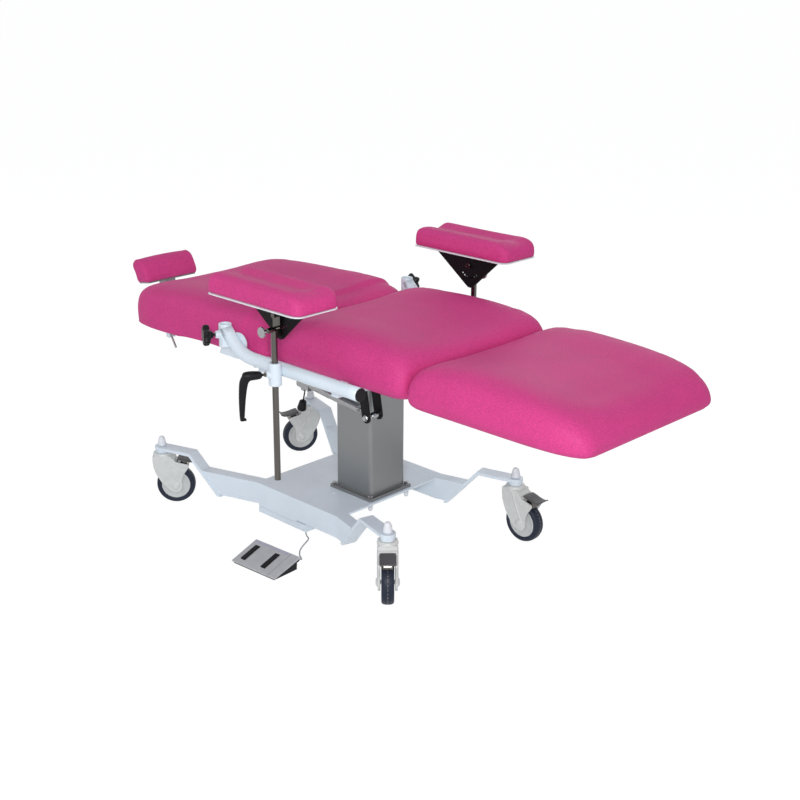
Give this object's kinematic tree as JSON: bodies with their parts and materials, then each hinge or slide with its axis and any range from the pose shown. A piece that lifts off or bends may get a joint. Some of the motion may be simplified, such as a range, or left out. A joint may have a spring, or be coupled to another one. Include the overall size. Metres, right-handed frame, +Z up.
{
  "type": "reclining examination chair on casters",
  "caption": "Three-section padded examination chair with tilting back and leg rest, lifting column, armrests, headrest, braked casters and a foot control.",
  "frame": {"origin": "on the floor under the middle of the chair's overall length and width", "axes": "+X towards the foot end, the longest side; +Y towards the patient's left; +Z up"},
  "size_m": [2.0704, 1.0146, 0.885],
  "materials": {
    "white_coat": "satin",
    "steel": "brushed",
    "chrome": "polished",
    "vinyl": "satin",
    "black_plastic": "satin",
    "black_metal": "satin",
    "white_plastic": "satin",
    "hood_plastic": "satin",
    "pedal_plastic": "satin",
    "hub_plastic": "satin",
    "tyre_rubber": "matte",
    "control_plastic": "satin",
    "cable_sheath": "satin",
    "plywood": "raw",
    "spring_tube": "satin"
  },
  "bodies": {
    "base": {"base_frame": "white_coat", "caster_bars": "white_coat", "caster_caps": "white_plastic", "control_tray": "white_coat", "column_cover": "steel", "flange_bolts": "steel", "foot_base": "black_plastic", "foot_top": "control_plastic", "foot_cable": "cable_sheath"},
    "pedal_left": {"foot_pedal_left": "black_plastic"},
    "pedal_right": {"foot_pedal_right": "black_plastic"},
    "fork_head_right": {"fork_head_right": "hood_plastic"},
    "brake_head_right": {"brake_head_right": "pedal_plastic"},
    "wheel_head_right": {"hub_head_right": "hub_plastic", "tyre_head_right": "tyre_rubber"},
    "fork_foot_right": {"fork_foot_right": "hood_plastic"},
    "brake_foot_right": {"brake_foot_right": "pedal_plastic"},
    "wheel_foot_right": {"hub_foot_right": "hub_plastic", "tyre_foot_right": "tyre_rubber"},
    "fork_foot_left": {"fork_foot_left": "hood_plastic"},
    "brake_foot_left": {"brake_foot_left": "pedal_plastic"},
    "wheel_foot_left": {"hub_foot_left": "hub_plastic", "tyre_foot_left": "tyre_rubber"},
    "fork_head_left": {"fork_head_left": "hood_plastic"},
    "brake_head_left": {"brake_head_left": "pedal_plastic"},
    "wheel_head_left": {"hub_head_left": "hub_plastic", "tyre_head_left": "tyre_rubber"},
    "seat": {"lift_column": "steel", "seat_frame": "white_coat", "side_tubes": "white_coat", "tube_plugs": "black_plastic", "seat_cushion": "vinyl", "spring_hangers": "black_metal", "hanger_bolt": "steel"},
    "back": {"back_frame": "white_coat", "back_board": "plywood", "back_cushion": "vinyl"},
    "release": {"release_lever": "steel"},
    "head": {"head_pad": "vinyl", "head_bracket": "steel"},
    "leg": {"leg_frame": "white_coat", "leg_board": "plywood", "leg_cushion": "vinyl"},
    "post_right": {"arm_post_right": "chrome"},
    "armrest_right": {"arm_bracket_right": "black_metal", "arm_board_right": "white_plastic", "arm_pad_right": "vinyl"},
    "plunger_right": {"arm_plunger_right": "chrome"},
    "clamp_right": {"clamp_lever_right": "black_plastic"},
    "knob_right": {"star_knob_right": "black_plastic"},
    "post_left": {"arm_post_left": "chrome"},
    "armrest_left": {"arm_bracket_left": "black_metal", "arm_board_left": "white_plastic", "arm_pad_left": "vinyl"},
    "plunger_left": {"arm_plunger_left": "chrome"},
    "clamp_left": {"clamp_lever_left": "black_plastic"},
    "knob_left": {"star_knob_left": "black_plastic"},
    "spring_rod": {"gas_rod": "chrome"},
    "spring_tube": {"gas_tube": "spring_tube"},
    "release_pull": {"release_knob": "black_plastic"}
  },
  "joints": [
    {"name": "swivel_head_right", "type": "hinge", "parent": "base", "child": "fork_head_right", "pos_m": [-0.60685, -0.325, 0.17], "axis": [0, 0, 1], "continuous": true},
    {"name": "roll_head_right", "type": "hinge", "parent": "fork_head_right", "child": "wheel_head_right", "pos_m": [-0.57916, -0.29531, 0.0625], "axis": [-0.7314, 0.682, 0], "continuous": true},
    {"name": "brake_head_right", "type": "hinge", "parent": "fork_head_right", "child": "brake_head_right", "pos_m": [-0.56184, -0.27673, 0.129], "axis": [-0.7314, 0.682, 0], "range_deg": [0, 6]},
    {"name": "swivel_foot_right", "type": "hinge", "parent": "base", "child": "fork_foot_right", "pos_m": [0.37515, -0.278, 0.17], "axis": [0, 0, 1], "continuous": true},
    {"name": "roll_foot_right", "type": "hinge", "parent": "fork_foot_right", "child": "wheel_foot_right", "pos_m": [0.40386, -0.30671, 0.0625], "axis": [0.7071, 0.7071, 0], "continuous": true},
    {"name": "brake_foot_right", "type": "hinge", "parent": "fork_foot_right", "child": "brake_foot_right", "pos_m": [0.42182, -0.32467, 0.129], "axis": [0.7071, 0.7071, 0], "range_deg": [0, 6]},
    {"name": "swivel_foot_left", "type": "hinge", "parent": "base", "child": "fork_foot_left", "pos_m": [0.37515, 0.278, 0.17], "axis": [0, 0, 1], "continuous": true},
    {"name": "roll_foot_left", "type": "hinge", "parent": "fork_foot_left", "child": "wheel_foot_left", "pos_m": [0.41575, 0.278, 0.0625], "axis": [0, 1, 0], "continuous": true},
    {"name": "brake_foot_left", "type": "hinge", "parent": "fork_foot_left", "child": "brake_foot_left", "pos_m": [0.44115, 0.278, 0.129], "axis": [0, 1, 0], "range_deg": [0, 6]},
    {"name": "swivel_head_left", "type": "hinge", "parent": "base", "child": "fork_head_left", "pos_m": [-0.60685, 0.325, 0.17], "axis": [0, 0, 1], "continuous": true},
    {"name": "roll_head_left", "type": "hinge", "parent": "fork_head_left", "child": "wheel_head_left", "pos_m": [-0.62591, 0.28915, 0.0625], "axis": [0.8829, -0.4695, 0], "continuous": true},
    {"name": "brake_head_left", "type": "hinge", "parent": "fork_head_left", "child": "brake_head_left", "pos_m": [-0.63784, 0.26672, 0.129], "axis": [0.8829, -0.4695, 0], "range_deg": [0, 6]},
    {"name": "lift", "type": "slide", "parent": "base", "child": "seat", "axis": [0, 0, 1], "range_m": [0, 0.3]},
    {"name": "back_tilt", "type": "hinge", "parent": "seat", "child": "back", "pos_m": [-0.16385, 0, 0.643], "axis": [0, 1, 0], "range_deg": [0, 70]},
    {"name": "leg_tilt", "type": "hinge", "parent": "seat", "child": "leg", "pos_m": [0.45615, 0, 0.574], "axis": [0, 1, 0], "range_deg": [0, 60]},
    {"name": "head_slide", "type": "slide", "parent": "back", "child": "head", "axis": [-1, 0, 0], "range_m": [-0.12, 0.05]},
    {"name": "release_squeeze", "type": "hinge", "parent": "back", "child": "release", "pos_m": [-0.58985, -0.28, 0.564], "axis": [0, 1, 0], "range_deg": [0, 12], "stiffness_Nm_per_rad": 0.6, "springref_deg": -171.89},
    {"name": "post_slide_right", "type": "slide", "parent": "seat", "child": "post_right", "axis": [0, 0, 1], "range_m": [0, 0.18]},
    {"name": "arm_tilt_right", "type": "hinge", "parent": "post_right", "child": "armrest_right", "pos_m": [0.07115, -0.395, 0.787], "axis": [0, 1, 0], "range_deg": [-45, 45]},
    {"name": "plunger_right", "type": "slide", "parent": "post_right", "child": "plunger_right", "axis": [0, -1, 0], "range_m": [0, 0.008], "stiffness_N_per_m": 400, "springref_m": -0.004},
    {"name": "clamp_turn_right", "type": "hinge", "parent": "seat", "child": "clamp_right", "pos_m": [0.07115, -0.414, 0.619], "axis": [-0.5, -0.866, 0], "range_deg": [-60, 60]},
    {"name": "knob_turn_right", "type": "hinge", "parent": "seat", "child": "knob_right", "pos_m": [-0.18685, -0.379, 0.672], "axis": [-0.5, -0.866, 0], "continuous": true},
    {"name": "post_slide_left", "type": "slide", "parent": "seat", "child": "post_left", "axis": [0, 0, 1], "range_m": [0, 0.18]},
    {"name": "arm_tilt_left", "type": "hinge", "parent": "post_left", "child": "armrest_left", "pos_m": [0.07115, 0.395, 0.787], "axis": [0, 1, 0], "range_deg": [-45, 45]},
    {"name": "plunger_left", "type": "slide", "parent": "post_left", "child": "plunger_left", "axis": [0, 1, 0], "range_m": [0, 0.008], "stiffness_N_per_m": 400, "springref_m": -0.004},
    {"name": "clamp_turn_left", "type": "hinge", "parent": "seat", "child": "clamp_left", "pos_m": [0.07115, 0.414, 0.619], "axis": [-0.5, 0.866, 0], "range_deg": [-60, 60]},
    {"name": "knob_turn_left", "type": "hinge", "parent": "seat", "child": "knob_left", "pos_m": [-0.18685, 0.379, 0.672], "axis": [-0.5, 0.866, 0], "continuous": true},
    {"name": "spring_swing", "type": "hinge", "parent": "seat", "child": "spring_rod", "pos_m": [0.14115, -0.105, 0.433], "axis": [0, 1, 0], "range_deg": [0, 10.85]},
    {"name": "spring_stretch", "type": "slide", "parent": "spring_rod", "child": "spring_tube", "axis": [-0.9923, 0, 0.1236], "range_m": [0, 0.183]},
    {"name": "release_pull", "type": "slide", "parent": "spring_tube", "child": "release_pull", "axis": [-0.2595, 0, -0.9657], "range_m": [0, 0.008], "stiffness_N_per_m": 300, "springref_m": -0.004},
    {"name": "foot_pedal_left", "type": "hinge", "parent": "base", "child": "pedal_left", "pos_m": [-0.06948, -0.37924, 0.0344], "axis": [0.9981, 0.061, 0], "range_deg": [0, 2.5], "stiffness_Nm_per_rad": 2, "springref_deg": -114.59},
    {"name": "foot_pedal_right", "type": "hinge", "parent": "base", "child": "pedal_right", "pos_m": [0.01436, -0.37411, 0.0344], "axis": [0.9981, 0.061, 0], "range_deg": [0, 2.5], "stiffness_Nm_per_rad": 2, "springref_deg": -114.59}
  ],
  "couplings": [
    {"joint": "spring_swing", "follows": "back_tilt", "ratio": 0.155},
    {"joint": "spring_stretch", "follows": "back_tilt", "m_per_rad": 0.1498}
  ]
}
